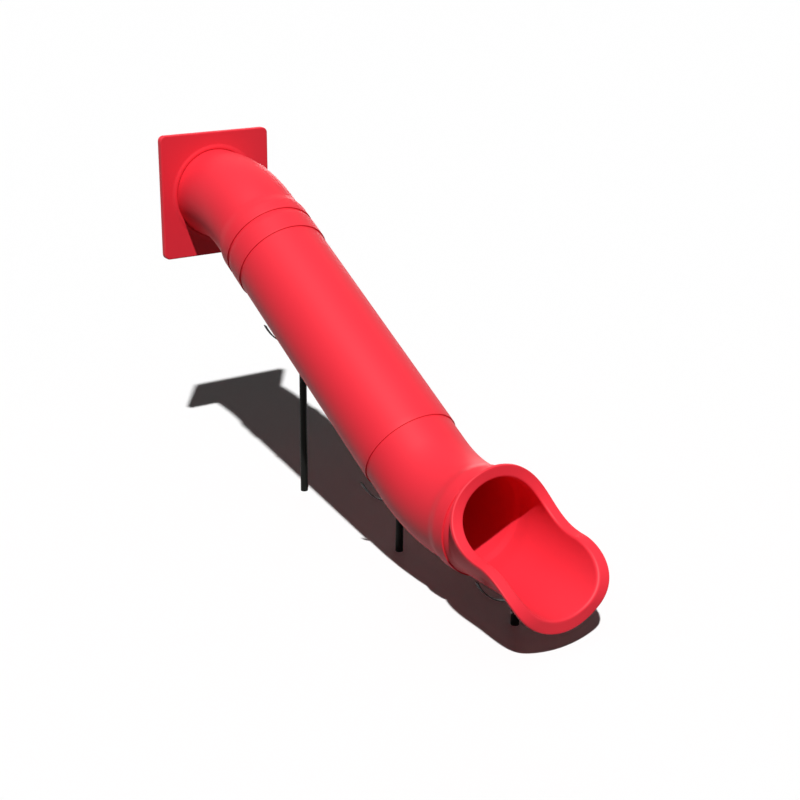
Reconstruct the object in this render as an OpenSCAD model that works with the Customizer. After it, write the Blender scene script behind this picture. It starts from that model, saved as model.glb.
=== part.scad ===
// Tube slide: a moulded plastic tube from a deck opening down to an open exit chute, on three posts.
// Millimetres, +Z up. The rider goes towards +X and the middle plane is Y = 0.
// Origin: the middle of the entrance panel's back face, where it bolts to the deck.

/* [Course] */

// Slope of the straight tube below level, in degrees
slope_deg = 29.25; // [24:0.25:32]
// Radius of both elbows, on the tube's centreline
bend_r = 1100; // [950:10:1150]
// Entrance panel's front face to the entry corner of the centreline
entry_run = 456; // [430:1:520]
// Entry corner to the first joint, along the slope
joint_1_run = 560; // [540:1:640]
// Length of the spacer tube that shows
spacer_show = 228.6; // [200:0.1:300]
// Length of the main tube that shows
main_show = 2133.6; // [1800:0.1:2400]
// Last sloping joint to the exit corner of the centreline
exit_run = 482.6; // [470:0.1:520]
// Exit corner to the chute's joint, on the level
exit_level_run = 526.3; // [500:0.1:560]
// Height of the entrance panel's middle above the ground
panel_centre_height = 2297.4; // [2250:0.1:2400]

/* [Tube] */

// Inside radius of the tube
bore_r = 368.3; // [360:0.1:375]
// Wall of every moulded tube section
wall = 9.5; // [8:0.5:11]
// Clearance between nested sections, on the radius
nest_gap = 0.5; // [0.3:0.1:1]
// End clearance where a section stops on a shoulder
seat_gap = 0.3; // [0.1:0.1:0.6]
// How far one section goes into the next
overlap = 100; // [90:1:110]
// How far the main tube goes into the spacer
spacer_overlap = 150; // [140:1:160]
// Straight length of an elbow's bell
bell_flat = 125; // [118:1:130]
// Length of the outer ramp up to an elbow's bell
bell_ramp = 50; // [40:1:55]
// Length of the inner cone that leads up to a shoulder
lead_cone = 60; // [40:1:70]
// Plain collar before the spacer's and the chute's ramp
collar_flat = 10; // [5:1:15]
// Length of the spacer's outer ramp
spacer_ramp = 45; // [35:1:50]
// Thickness left at the tapered mouth of the exit elbow
mouth_land = 0.8; // [0.5:0.1:2]

/* [Entrance panel] */

// Width of the entrance panel
panel_width = 1028.7; // [1000:0.1:1100]
// Height of the entrance panel
panel_height = 1066.8; // [1040:0.1:1150]
// Thickness of the entrance panel
panel_thick = 60; // [55:1:70]
// Radius of the panel's corners, seen from the front
panel_corner_r = 60; // [50:1:90]
// Rounding along the panel's edges
panel_edge_r = 10; // [8:1:16]
// Wall of the double-walled panel
panel_wall = 7; // [5:0.5:8]
// Height of the tube's axis above the panel's middle
tube_up = 6; // [0:1:15]
// Rounding of the opening on the deck side
lip_r = 15; // [8:1:18]
// Depth from the deck side at which the tube stops in the panel
socket_depth = 24; // [20:1:28]
// Height of the raised collar round the tube
collar_rise = 8; // [5:1:15]
// Outer radius of the raised collar, where it meets the face
collar_r = 428; // [415:1:440]
// Radius where the collar's flat crest ends
crest_r = 392; // [388:1:400]
// Wall behind the socket
socket_wall = 12; // [10:1:16]
// Radius of the drain hole in the panel's lower edge
drain_r = 6; // [4:0.5:8]

/* [Deck fixing] */

// Side edge of the panel to the deck bolts
deck_margin_y = 57.15; // [52:0.05:75]
// Upper and lower edge of the panel to the deck bolts
deck_margin_z = 76.2; // [66:0.1:90]
// Radius of the threaded bore in each insert
insert_bore_r = 5; // [4:0.5:6]
// Outer radius of each insert
insert_r = 8; // [7:0.5:10]
// Length of each insert
insert_len = 24; // [18:1:30]
// Radius of the solid boss round each insert
boss_r = 17; // [14:1:20]

/* [Exit chute] */

// Outer radius of the turned-out rim
rim_r = 461; // [430:1:470]
// Depth of the rim's turned-back edge
rim_depth = 26; // [24:1:32]
// Rounding where the bore turns out into the rim
rim_inner_r = 20; // [12:1:22]
// Rounding of the rim's outer edge
rim_edge_r = 10; // [6:1:12]
// Rounding behind the rim, against the tube
rim_back_r = 12; // [8:1:14]
// Joint to the rim's front face at the top of the mouth
mouth_top_run = 85.5; // [80:0.1:110]
// Joint to the waist, where the mouth's edge runs level
waist_run = 495.1; // [470:0.1:540]
// Joint to the chute's end
mouth_end_run = 861.2; // [830:0.1:920]
// Drop of the waist below the tube's axis
waist_drop = 7.3; // [0:0.1:20]
// Drop below the tube's axis at which the mouth's edge stands upright again
mouth_end_drop = 351.4; // [330:0.1:365]
// Slope of the mouth's edge at the waist
waist_slope = 0.025; // [0.01:0.005:0.05]
// Rim's outermost circle to the top of the mouth's edge in side view
mouth_top_dip = 1.4; // [0:0.1:5]
// Share of the drop to the waist over which the edge stays upright at its top
top_upright = 0.584; // [0.5:0.002:0.65]
// Share of the first sweep's length over which the edge is already level
waist_level_back = 0.669; // [0.6:0.001:0.7]
// Share of the second sweep's length over which the edge stays level
waist_level_on = 0.461; // [0.4:0.001:0.5]
// Share of the second sweep's drop over which the edge is already upright
end_upright = 0.591; // [0.5:0.001:0.65]
// How far the lowest edge kicks forward
toe_kick = 6.7; // [0:0.1:12]

/* [Fasteners] */

// Screws round each joint
screws_per_joint = 8; // [6:1:12]
// Screw circle's distance from the joint's edge
screw_back = 28; // [22:1:32]
// Shank radius of the countersunk screws and bolts
screw_r = 4; // [3:0.5:5]
// Head radius of the countersunk screws and bolts
screw_head_r = 8; // [7:0.5:9]
// Length of a joint screw
screw_len = 17.5; // [15:0.5:18]
// Clearance round a screw in its hole
hole_clear = 0.1; // [0.05:0.05:0.3]

/* [Posts and cradles] */

// Entrance panel's front face to the upper post
post_1_run = 1438; // [1400:1:1480]
// Last sloping joint to the middle saddle's middle, which stands over the middle post
post_2_run = 54.9; // [54:0.1:70]
// The chute's joint to the lower post
post_3_run = 341; // [300:1:360]
// Outer radius of the posts
post_r = 30.15; // [28:0.05:32]
// Wall of the posts
post_wall = 4; // [3:0.1:5]
// Top of a post below its cradle
post_top_gap = 20; // [10:1:30]
// Outer radius of the cradles' stubs
stub_r = 25.4; // [23:0.1:26]
// Wall of the stubs
stub_wall = 3; // [2.5:0.1:4]
// Length of a stub inside its post
stub_in = 110; // [100:1:120]
// Inner radius of the cradle bands
band_r = 382; // [379:0.5:384]
// Thickness of the cradle bands
band_thick = 6; // [5:0.5:8]
// Width of the cradle bands along the slide
band_width = 38; // [34:1:44]
// Reach of a band to each side of its lowest point, in degrees
band_reach_deg = 64; // [50:1:70]
// Radius of the bolts through post and stub
post_bolt_r = 5; // [4:0.5:6]
// Top of the post to its first bolt
post_bolt_down = 30; // [25:1:35]
// Distance between the two bolts of a post
post_bolt_pitch = 45; // [40:1:50]

/* [Saddles] */

// Thickness of the rubber pads
pad_thick = 3; // [2:0.5:5]
// Thickness of the upper wedge pad under the tube's lowest line
wedge_thick = 13; // [10:0.5:16]
// Half width of the upper wedge pad
wedge_half = 180; // [120:5:220]
// Middle saddle plate to its band, straight down
riser_2_high = 80.4; // [70:0.1:90]
// Lower saddle plate to its band, straight down
riser_3_high = 52.9; // [45:0.1:60]
// Thickness of the saddle plates
plate_thick = 6; // [5:0.5:8]
// Length of the saddle plates and their pads along the slide
saddle_len = 100; // [90:1:104]
// Reach of a saddle plate to each side of its lowest point, in degrees
saddle_reach_deg = 20; // [17:1:24]
// Distance of each riser plate from the middle plane
riser_y = 45; // [38:1:50]
// Width of a riser plate at its top
riser_top = 80; // [60:1:88]
// Height of a riser's narrow neck above its band
riser_neck = 9; // [6:1:14]
// Saddle bolts to each side of the lowest point, in degrees
saddle_bolt_deg = 13; // [12:0.5:15]
// Distance between the two bolts of a row along the slide
saddle_bolt_pitch = 60; // [50:1:70]

/* [Hidden] */

$fn = 96;

// reach of a cutting solid past the face that it cuts
past = 5;
// a bend's wall is this much thinner on each side than its legs, which run this far into it
bend_step = 0.6;
bend_lap = 2;

// nested radii: level 0 is the elbows' own tube, level 1 goes over it and level 2 over that
step = wall + nest_gap;
function bore(level) = bore_r + level * step;
function skin(level) = bore(level) + wall;

// stations of the course
entry_x = panel_thick + entry_run;
bend_t = bend_r * tan(slope_deg / 2);
joint_2_run = joint_1_run + spacer_show;
joint_3_run = joint_2_run + main_show;
exit_corner_run = joint_3_run + exit_run;
exit_x = entry_x + exit_corner_run * cos(slope_deg);
exit_z = tube_up - exit_corner_run * sin(slope_deg);
joint_4_x = exit_x + exit_level_run;
panel_joint_x = panel_thick + collar_rise;
ground_z = -panel_centre_height;

// supports: upper, middle, lower
pad_out_r = skin(0) + pad_thick;
plate_out_r = pad_out_r + plate_thick;
band_out_r = band_r + band_thick;
saddle_2_at = joint_3_run + post_2_run;
post_x = [
  panel_thick + post_1_run,
  entry_x + saddle_2_at * cos(slope_deg) - (pad_out_r + plate_thick / 2) * sin(slope_deg),
  joint_4_x + post_3_run
];
function slope_z(x) = tube_up - (x - entry_x) * tan(slope_deg);
band_z = [
  slope_z(post_x[0]) - skin(1) / cos(slope_deg) - wedge_thick + band_r,
  slope_z(post_x[1]) - plate_out_r / cos(slope_deg) - riser_2_high + band_r,
  exit_z - plate_out_r - riser_3_high + band_r
];
bolt_clear_r = post_bolt_r + 2 * hole_clear;
// hexagon sizes for each millimetre of a bolt's radius: across the flats, and the nut's and head's height
nut_af_per_r = 3.3;
nut_high_per_r = 1.6;
head_high_per_r = 1.3;
nut_af = nut_af_per_r * post_bolt_r;
nut_high = nut_high_per_r * post_bolt_r;
head_high = head_high_per_r * post_bolt_r;
saddle_nut_af = nut_af_per_r * screw_r;
saddle_nut_high = nut_high_per_r * screw_r;
saddle_bolt_len = plate_out_r - bore_r + saddle_nut_high + screw_r / 2;
head_sink = screw_head_r - screw_r;
// a countersunk head lies this far below the bore, so that its rim stays under the curved surface
head_below = bore_r - sqrt(bore_r * bore_r - screw_head_r * screw_head_r);

// PLACING

// along a level axis through the origin, towards +X
module lengthways() {
  rotate([0, 90, 0]) children();
}

// at a station of the level entry, measured from the panel's back face
module on_entry(x) {
  translate([x, 0, tube_up]) lengthways() children();
}

// at a station of the slope, measured from the entry corner
module on_slope(run) {
  translate([entry_x + run * cos(slope_deg), 0, tube_up - run * sin(slope_deg)])
    rotate([0, slope_deg, 0]) lengthways() children();
}

// at a station of the level exit, measured along X
module on_exit(x) {
  translate([x, 0, exit_z]) lengthways() children();
}

// COUNTERSUNK FASTENINGS

// the screws point away from the axis, with their heads flush in the inner surface of radius r
module round_joint(r) {
  for (i = [0 : screws_per_joint - 1])
    rotate([0, 0, (i + 0.5) * 360 / screws_per_joint]) translate([r, 0, 0]) lengthways() children();
}

module countersunk(len, grow = 0) {
  translate([0, 0, head_below]) {
    cylinder(h = head_sink, r1 = screw_head_r + grow, r2 = screw_r + grow);
    cylinder(h = len - head_below + grow, r = screw_r + grow);
  }
}

// the hole also opens the thin skin above a sunk head
module countersunk_hole(len) {
  countersunk(len, hole_clear);
  translate([0, 0, -past]) cylinder(h = past + head_below, r = screw_head_r + hole_clear);
}

// screw positions: the panel's joint, then joints 1 to 4 down the slide
module at_joint(j) {
  if (j == 0) on_entry(panel_joint_x - screw_back) round_joint(bore(0)) children();
  if (j == 1) on_slope(joint_1_run - screw_back) round_joint(bore(1)) children();
  if (j == 2) on_slope(joint_2_run - screw_back) round_joint(bore(1)) children();
  if (j == 3) on_slope(joint_3_run - screw_back) round_joint(bore(0)) children();
  if (j == 4) on_exit(joint_4_x - screw_back) round_joint(bore(1)) children();
}

// bolts of the two bolted saddles, pointing away from the tube's axis
module round_saddle() {
  for (side = [-1, 1])
    for (row = [-0.5, 0.5])
      rotate([0, 0, side * saddle_bolt_deg])
        translate([bore(0), 0, row * saddle_bolt_pitch]) lengthways() children();
}

module at_saddle(i) {
  if (i == 1) on_slope(saddle_2_at) round_saddle() children();
  if (i == 2) on_exit(post_x[2]) round_saddle() children();
}

// ENTRANCE PANEL

// a rectangle standing on its lower edge, with all four corners rounded
module soft_rect(w, h, r) {
  translate([r - w / 2, 0]) square([w - 2 * r, h]);
  translate([-w / 2, r]) square([w, h - 2 * r]);
  for (x = [r - w / 2, w / 2 - r])
    for (y = [r, h - r])
      translate([x, y]) circle(r = r);
}

// a plate with rounded corners and rounded edges, its back face on Z = 0
module soft_plate(w, h, t, corner, edge) {
  for (x = [corner - w / 2, w / 2 - corner])
    for (y = [corner - h / 2, h / 2 - corner])
      translate([x, y, 0]) rotate_extrude() intersection() {
        soft_rect(2 * corner, t, edge);
        square([corner, t]);
      }
  translate([0, h / 2 - corner, 0]) rotate([90, 0, 0])
    linear_extrude(h - 2 * corner) soft_rect(w, t, edge);
  translate([corner - w / 2, 0, 0]) rotate([90, 0, 90])
    linear_extrude(w - 2 * corner) soft_rect(h, t, edge);
}

// the panel stands upright with its height along Z and its thickness along X
module upright() {
  rotate([90, 0, 90]) children();
}

// corners of the deck bolt pattern, pointing from the deck into the panel
module at_deck_bolts() {
  for (y = [deck_margin_y - panel_width / 2, panel_width / 2 - deck_margin_y])
    for (z = [deck_margin_z - panel_height / 2, panel_height / 2 - deck_margin_z])
      translate([0, y, z]) lengthways() children();
}

// half section of the raised collar: a flat crest that eases down to the face
module collar_section() {
  steps = 8;
  polygon(concat(
    [[bore_r, -past], [bore_r, collar_rise]],
    [for (i = [0 : steps])
      [crest_r + (collar_r - crest_r) * i / steps, collar_rise * (1 + cos(180 * i / steps)) / 2]],
    [[collar_r, -past]]));
}

module entrance_panel() {
  color("firebrick") difference() {
    union() {
      difference() {
        upright() soft_plate(panel_width, panel_height, panel_thick, panel_corner_r, panel_edge_r);
        panel_cavity();
      }
      on_entry(panel_thick) rotate_extrude() collar_section();
    }
    on_entry(-past) cylinder(h = 3 * panel_thick, r = bore(0));
    on_entry(socket_depth) cylinder(h = 3 * panel_thick, r = bore(1));
    on_entry(0) rotate_extrude() difference() {
      translate([bore(0) - past, -past]) square(lip_r + past);
      translate([bore(0) + lip_r, lip_r]) circle(r = lip_r);
    }
    at_deck_bolts() translate([0, 0, -past]) cylinder(h = past + insert_len, r = insert_r + hole_clear);
    at_joint(0) countersunk_hole(screw_len);
    translate([panel_thick / 2, 0, -panel_height / 2 - past])
      cylinder(h = 2 * past + panel_wall, r = drain_r);
  }
}

// the space between the panel's two walls, left solid round the opening and at the bolts
module panel_cavity() {
  difference() {
    translate([panel_wall, 0, 0]) upright()
      soft_plate(panel_width - 2 * panel_wall, panel_height - 2 * panel_wall,
        panel_thick - 2 * panel_wall, panel_corner_r - panel_wall, panel_edge_r - panel_wall);
    on_entry(0) cylinder(h = panel_thick, r = bore(1) + socket_wall);
    at_deck_bolts() cylinder(h = panel_thick, r = boss_r);
  }
}

module panel_inserts() {
  color("silver") at_deck_bolts() difference() {
    cylinder(h = insert_len, r = insert_r);
    translate([0, 0, -past]) cylinder(h = insert_len, r = insert_bore_r);
  }
}

// TUBE SECTIONS

// a straight leg turned from its half section, given as [radius, station] corners
module leg(corners) {
  rotate_extrude() polygon(corners);
}

// Half section of an elbow's leg that ends in a bell, len long. Outside, a ramp leads to the bell.
// Inside, a cone leads up to a shoulder, and the recess behind it takes the next section.
function bell_leg(run) = let (len = run + bend_lap) [
  [bore(0), 0], [skin(0), 0],
  [skin(0), len - bell_flat - bell_ramp], [skin(2), len - bell_flat], [skin(2), len],
  [bore(2), len], [bore(2), len - overlap], [bore(1), len - overlap],
  [bore(0), len - overlap - lead_cone]
];

// An elbow in the frame of its bend: the first leg leaves the start plane and the second leg the
// plane at slope_deg. Both legs are half sections measured from the bend and run a little into it.
module elbow(first, second) {
  rotate_extrude(angle = slope_deg) translate([bend_r, 0]) difference() {
    circle(r = skin(0) - bend_step);
    circle(r = bore(0) + bend_step);
  }
  translate([bend_r, bend_lap, 0]) rotate([90, 0, 0]) leg(first);
  rotate([0, 0, slope_deg]) translate([bend_r, -bend_lap, 0]) rotate([-90, 0, 0]) leg(second);
}

// stands an elbow in the middle plane, with its bend's centre at x, z
module stand_elbow(x, z, start_deg) {
  translate([x, 0, z]) rotate([90, 0, 0]) rotate([0, 0, start_deg]) children();
}

module entry_elbow() {
  level_len = entry_x - bend_t - socket_depth - seat_gap + bend_lap;
  color("crimson") difference() {
    stand_elbow(entry_x - bend_t, tube_up - bend_r, 90 - slope_deg) elbow(
      bell_leg(joint_1_run - bend_t),
      [[bore(0), 0], [skin(0), 0], [skin(0), level_len], [bore(0), level_len]]);
    at_joint(0) countersunk_hole(screw_len);
    at_joint(1) countersunk_hole(screw_len);
  }
}

module spacer_tube() {
  start = joint_1_run - overlap + seat_gap;
  ramp_start = joint_1_run + collar_flat;
  shoulder = joint_2_run - spacer_overlap;
  color("crimson") difference() {
    on_slope(0) leg([[bore(1), start], [skin(1), start],
      [skin(1), ramp_start], [skin(2), ramp_start + spacer_ramp], [skin(2), joint_2_run],
      [bore(2), joint_2_run], [bore(2), shoulder], [bore(1), shoulder]]);
    at_joint(1) countersunk_hole(screw_len);
    at_joint(2) countersunk_hole(screw_len);
  }
}

module main_tube() {
  start = joint_2_run - spacer_overlap + seat_gap;
  color("crimson") difference() {
    on_slope(0) leg([[bore(1), start], [skin(1), start], [skin(1), joint_3_run], [bore(1), joint_3_run]]);
    at_joint(2) countersunk_hole(screw_len);
    at_joint(3) countersunk_hole(screw_len);
  }
}

module exit_elbow() {
  slope_len = exit_run - bend_t + overlap + bend_lap;
  color("crimson") difference() {
    stand_elbow(exit_x + bend_t, exit_z + bend_r, 270 - slope_deg) elbow(
      [[bore(0), 0], [skin(0), 0], [skin(0), slope_len], [skin(0) - mouth_land, slope_len],
        [bore(0), slope_len - lead_cone]],
      bell_leg(exit_level_run - bend_t));
    at_joint(3) countersunk_hole(screw_len);
    at_joint(4) countersunk_hole(screw_len);
    at_saddle(1) countersunk_hole(saddle_bolt_len);
  }
}

module joint_screws() {
  color("silver") for (j = [0 : 4]) at_joint(j) countersunk(screw_len);
}

// EXIT CHUTE

// Side view of the mouth, as [x, z]. From the top the edge drops, sweeps forward to the level
// waist, runs out and drops again to the chute's end. Both sweeps are cubic curves.
mouth_top = [joint_4_x + mouth_top_run, exit_z + rim_r - mouth_top_dip];
waist = [joint_4_x + waist_run, exit_z - waist_drop];
mouth_end = [joint_4_x + mouth_end_run, exit_z - mouth_end_drop];
top_pull = top_upright * (mouth_top[1] - waist[1]);
waist_pull_back = waist_level_back * (waist[0] - mouth_top[0]);
waist_pull_on = waist_level_on * (mouth_end[0] - waist[0]);
end_pull = end_upright * (waist[1] - mouth_end[1]);
level = [1, -waist_slope];

function cubic(a, b, c, d, t) =
  pow(1 - t, 3) * a + 3 * pow(1 - t, 2) * t * b + 3 * (1 - t) * t * t * c + t * t * t * d;

// the two sweeps are a little longer than straight lines, near enough for spacing points along them
sweep_1_bulge = 1.03;
sweep_2_bulge = 1.04;
sweep_1 = sweep_1_bulge * norm(waist - mouth_top);
sweep_2 = sweep_2_bulge * norm(mouth_end - waist);

// point of the mouth's edge at distance u from its top
function mouth(u) =
  u < 0 ? mouth_top - [0, u]
  : u < sweep_1 ? cubic(mouth_top, mouth_top - [0, top_pull], waist - waist_pull_back * level,
      waist, u / sweep_1)
  : u < sweep_1 + sweep_2 ? cubic(waist, waist + waist_pull_on * level, mouth_end + [0, end_pull],
      mouth_end, (u - sweep_1) / sweep_2)
  : mouth_end + toe(u - sweep_1 - sweep_2);

// below the mouth's end the edge bends slightly forward
function toe(drop) = [toe_kick * pow(drop / (rim_r - mouth_end_drop), 2), -drop];

// direction that the rim's front faces, and a point d behind the front
function facing(u) =
  let (run = mouth(u + 0.5) - mouth(u - 0.5)) [-run[1], run[0]] / norm(run);
function behind(u, d) = mouth(u) - d * facing(u);

// distance u at which the line d behind the front passes the height z
function find_u(z, d, low, high, tries) =
  tries == 0 ? (low + high) / 2
  : let (mid = (low + high) / 2)
    behind(mid, d)[1] > z ? find_u(z, d, mid, high, tries - 1) : find_u(z, d, low, mid, tries - 1);
// the search runs from above the top of the mouth to below its lowest edge, halving each time
u_low = -2 * rim_depth;
u_high = sweep_1 + sweep_2 + rim_r / 2;
u_tries = 30;

// Section of the rim, as [radius from the tube's axis, depth behind the front face].
// It turns out of the bore, runs out flat, rolls over the edge and turns back.
// It starts and ends buried in the tube's wall, and grazes the wall's two skins.
bury = 1.5;
graze = 0.4;
lip_round = 3;
inner_turn_deg = 22.5;
outer_turn_deg = 30;
rim_section = concat(
  [[bore_r + bury, rim_inner_r + past]],
  [for (a = [0 : inner_turn_deg : 90])
    [bore_r + graze + rim_inner_r * (1 - cos(a)), rim_inner_r * (1 - sin(a))]],
  [for (a = [0 : outer_turn_deg : 90])
    [rim_r - rim_edge_r * (1 - sin(a)), rim_edge_r * (1 - cos(a))]],
  [[rim_r, rim_depth - lip_round], [rim_r - lip_round, rim_depth],
    [rim_r - wall + lip_round, rim_depth], [rim_r - wall, rim_depth - lip_round],
    [rim_r - wall, wall + lip_round], [rim_r - wall - lip_round, wall]],
  [for (a = [90 : -outer_turn_deg : 0])
    [bore_r + wall - graze + rim_back_r * (1 - cos(a)), wall + rim_back_r * (1 - sin(a))]],
  [[bore_r + wall - bury, rim_inner_r + past]]);

// point of the rim's skin: share 0 is the top of the mouth and share 1 the bottom
function rim_point(share, side, r, d) =
  let (
    u_top = find_u(exit_z + r, d, u_low, u_high, u_tries),
    u_end = find_u(exit_z - r, d, u_low, u_high, u_tries),
    p = behind(u_top + (u_end - u_top) * (1 - cos(180 * share)) / 2, d),
    h = p[1] - exit_z
  )
  [p[0], side * sqrt(max(0, r * r - h * h)), p[1]];

half_stations = 44;

module turned_out_rim() {
  stations = 2 * half_stations;
  corners = len(rim_section);
  points = [for (i = [0 : stations - 1]) for (s = rim_section)
    i <= half_stations ? rim_point(i / half_stations, 1, s[0], s[1])
    : rim_point((stations - i) / half_stations, -1, s[0], s[1])];
  faces = [for (i = [0 : stations - 1]) for (k = [0 : corners - 1])
    let (
      a = i * corners + k,
      b = i * corners + (k + 1) % corners,
      c = ((i + 1) % stations) * corners + k,
      d = ((i + 1) % stations) * corners + (k + 1) % corners
    )
    each [[a, b, d], [a, d, c]]];
  polyhedron(points = points, faces = faces, convexity = 10);
}

// everything in front of the line where the rim takes over from the plain tube
module in_front_of_mouth() {
  cut_steps = 60;
  cut_at = rim_inner_r + bury;
  from = find_u(exit_z + rim_r + past, rim_inner_r, u_low, u_high, u_tries);
  to = find_u(exit_z - rim_r - past, rim_inner_r, u_low, u_high, u_tries);
  rotate([90, 0, 0]) linear_extrude(3 * rim_r, center = true) polygon(concat(
    [for (i = [0 : cut_steps]) behind(from + (to - from) * i / cut_steps, cut_at)],
    [[mouth_end[0] + rim_r, exit_z - rim_r - past], [mouth_end[0] + rim_r, exit_z + rim_r + past]]));
}

module exit_chute() {
  start = joint_4_x - overlap + seat_gap;
  ramp_start = joint_4_x + collar_flat;
  color("crimson") difference() {
    union() {
      difference() {
        on_exit(0) leg([[bore(1), start], [skin(1), start],
          [skin(1), ramp_start], [skin(0), ramp_start + bell_ramp], [skin(0), mouth_end[0] + past],
          [bore(0), mouth_end[0] + past], [bore(0), joint_4_x + bell_ramp], [bore(1), joint_4_x]]);
        in_front_of_mouth();
      }
      turned_out_rim();
    }
    at_joint(4) countersunk_hole(screw_len);
    at_saddle(2) countersunk_hole(saddle_bolt_len);
  }
}

// POSTS AND CRADLES

function post_top(i) = band_z[i] - band_out_r - post_top_gap;

// the two crosswise bolts of a post
module at_post_bolts(i) {
  for (k = [0, 1])
    translate([post_x[i], 0, post_top(i) - post_bolt_down - k * post_bolt_pitch])
      rotate([90, 0, 0]) children();
}

module post(i) {
  color("dimgray") difference() {
    translate([post_x[i], 0, ground_z]) difference() {
      cylinder(h = post_top(i) - ground_z, r = post_r);
      translate([0, 0, -past]) cylinder(h = post_top(i) - ground_z + 2 * past, r = post_r - post_wall);
    }
    at_post_bolts(i) cylinder(h = 3 * post_r, r = bolt_clear_r, center = true);
  }
}

// the stub's top is coped to the band that is welded on it
module stub(i) {
  color("gray") difference() {
    translate([post_x[i], 0, post_top(i) - stub_in]) difference() {
      cylinder(h = stub_in + post_top_gap + band_thick, r = stub_r);
      translate([0, 0, -past]) cylinder(h = stub_in + post_top_gap + 3 * past, r = stub_r - stub_wall);
    }
    translate([post_x[i], 0, band_z[i]]) lengthways()
      cylinder(h = 3 * stub_r, r = band_out_r, center = true);
    at_post_bolts(i) cylinder(h = 3 * post_r, r = bolt_clear_r, center = true);
  }
}

// a strip bent round the given radius and centred on the lowest point of the axis
module strip(r, thick, width, reach) {
  rotate([0, 0, -reach]) rotate_extrude(angle = 2 * reach)
    translate([r, -width / 2]) square([thick, width]);
}

module band(i) {
  color("gray") translate([post_x[i], 0, band_z[i]]) lengthways()
    strip(band_r, band_thick, band_width, band_reach_deg);
}

module hex(af, high) {
  cylinder(h = high, r = af / sqrt(3), $fn = 6);
}

module post_bolts() {
  color("silver") for (i = [0 : 2]) at_post_bolts(i) {
    translate([0, 0, -post_r - head_high]) hex(nut_af, head_high);
    translate([0, 0, -post_r]) cylinder(h = 2 * post_r + nut_high + post_bolt_r / 2, r = post_bolt_r);
  }
}

module post_nuts() {
  color("silver") for (i = [0 : 2]) at_post_bolts(i) translate([0, 0, post_r]) difference() {
    hex(nut_af, nut_high);
    translate([0, 0, -past]) cylinder(h = nut_high + 2 * past, r = post_bolt_r + hole_clear);
  }
}

// SADDLES

// Two upright plates from the band up to the saddle plate. They widen above the band.
module riser(i) {
  low = band_z[i] - band_r - past;
  neck = low + band_thick + riser_neck;
  wide = neck + (riser_top - band_width) / 2;
  high = band_z[i] - band_r / 2;
  for (side = [-1, 1])
    translate([post_x[i], side * riser_y + plate_thick / 2, 0]) rotate([90, 0, 0])
      linear_extrude(plate_thick) polygon([[-band_width / 2, low], [band_width / 2, low],
        [band_width / 2, neck], [riser_top / 2, wide], [riser_top / 2, high],
        [-riser_top / 2, high], [-riser_top / 2, wide], [-band_width / 2, neck]]);
}

module inside_band(i) {
  translate([post_x[i], 0, band_z[i]]) lengthways() cylinder(h = 2 * saddle_len, r = band_r, center = true);
}

module riser_middle() {
  color("gray") difference() {
    intersection() {
      riser(1);
      inside_band(1);
    }
    on_slope(saddle_2_at) cylinder(h = 6 * saddle_len, r = plate_out_r, center = true);
  }
}

module riser_lower() {
  color("gray") difference() {
    intersection() {
      riser(2);
      inside_band(2);
    }
    on_exit(post_x[2]) cylinder(h = 2 * saddle_len, r = plate_out_r, center = true);
  }
}

module saddle_middle() {
  color("gray") difference() {
    on_slope(saddle_2_at) strip(pad_out_r, plate_thick, saddle_len, saddle_reach_deg);
    at_saddle(1) countersunk_hole(saddle_bolt_len);
  }
}

module saddle_lower() {
  color("gray") difference() {
    on_exit(post_x[2]) strip(pad_out_r, plate_thick, saddle_len, saddle_reach_deg);
    at_saddle(2) countersunk_hole(saddle_bolt_len);
  }
}

// the upper pad fills the wedge between the upright band and the sloping tube
module pad_upper() {
  color("black") difference() {
    translate([post_x[0], 0, band_z[0]]) intersection() {
      lengthways() cylinder(h = band_width, r = band_r, center = true);
      translate([-band_width, -wedge_half, -band_out_r]) cube([2 * band_width, 2 * wedge_half, band_out_r]);
    }
    on_slope((joint_2_run + joint_3_run) / 2) cylinder(h = main_show, r = skin(1), center = true);
  }
}

module pad_middle() {
  color("black") difference() {
    on_slope(saddle_2_at) strip(skin(0), pad_thick, saddle_len, saddle_reach_deg);
    at_saddle(1) countersunk_hole(saddle_bolt_len);
  }
}

module pad_lower() {
  color("black") difference() {
    on_exit(post_x[2]) strip(skin(0), pad_thick, saddle_len, saddle_reach_deg);
    at_saddle(2) countersunk_hole(saddle_bolt_len);
  }
}

module saddle_bolts() {
  color("silver") for (i = [1, 2]) at_saddle(i) countersunk(saddle_bolt_len);
}

module saddle_nuts() {
  color("silver") for (i = [1, 2]) at_saddle(i) translate([0, 0, plate_out_r - bore(0)]) difference() {
    hex(saddle_nut_af, saddle_nut_high);
    translate([0, 0, -past]) cylinder(h = saddle_nut_high + 2 * past, r = screw_r + hole_clear);
  }
}

entrance_panel();
panel_inserts();
entry_elbow();
spacer_tube();
main_tube();
exit_elbow();
exit_chute();
joint_screws();
post(0);  // post_upper
post(1);  // post_middle
post(2);  // post_lower
stub(0);  // stub_upper
stub(1);  // stub_middle
stub(2);  // stub_lower
band(0);  // band_upper
band(1);  // band_middle
band(2);  // band_lower
post_bolts();
post_nuts();
riser_middle();
riser_lower();
saddle_middle();
saddle_lower();
pad_upper();
pad_middle();
pad_lower();
saddle_bolts();
saddle_nuts();
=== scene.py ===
import math

import bmesh
import bpy
from mathutils import Matrix, Vector


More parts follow.
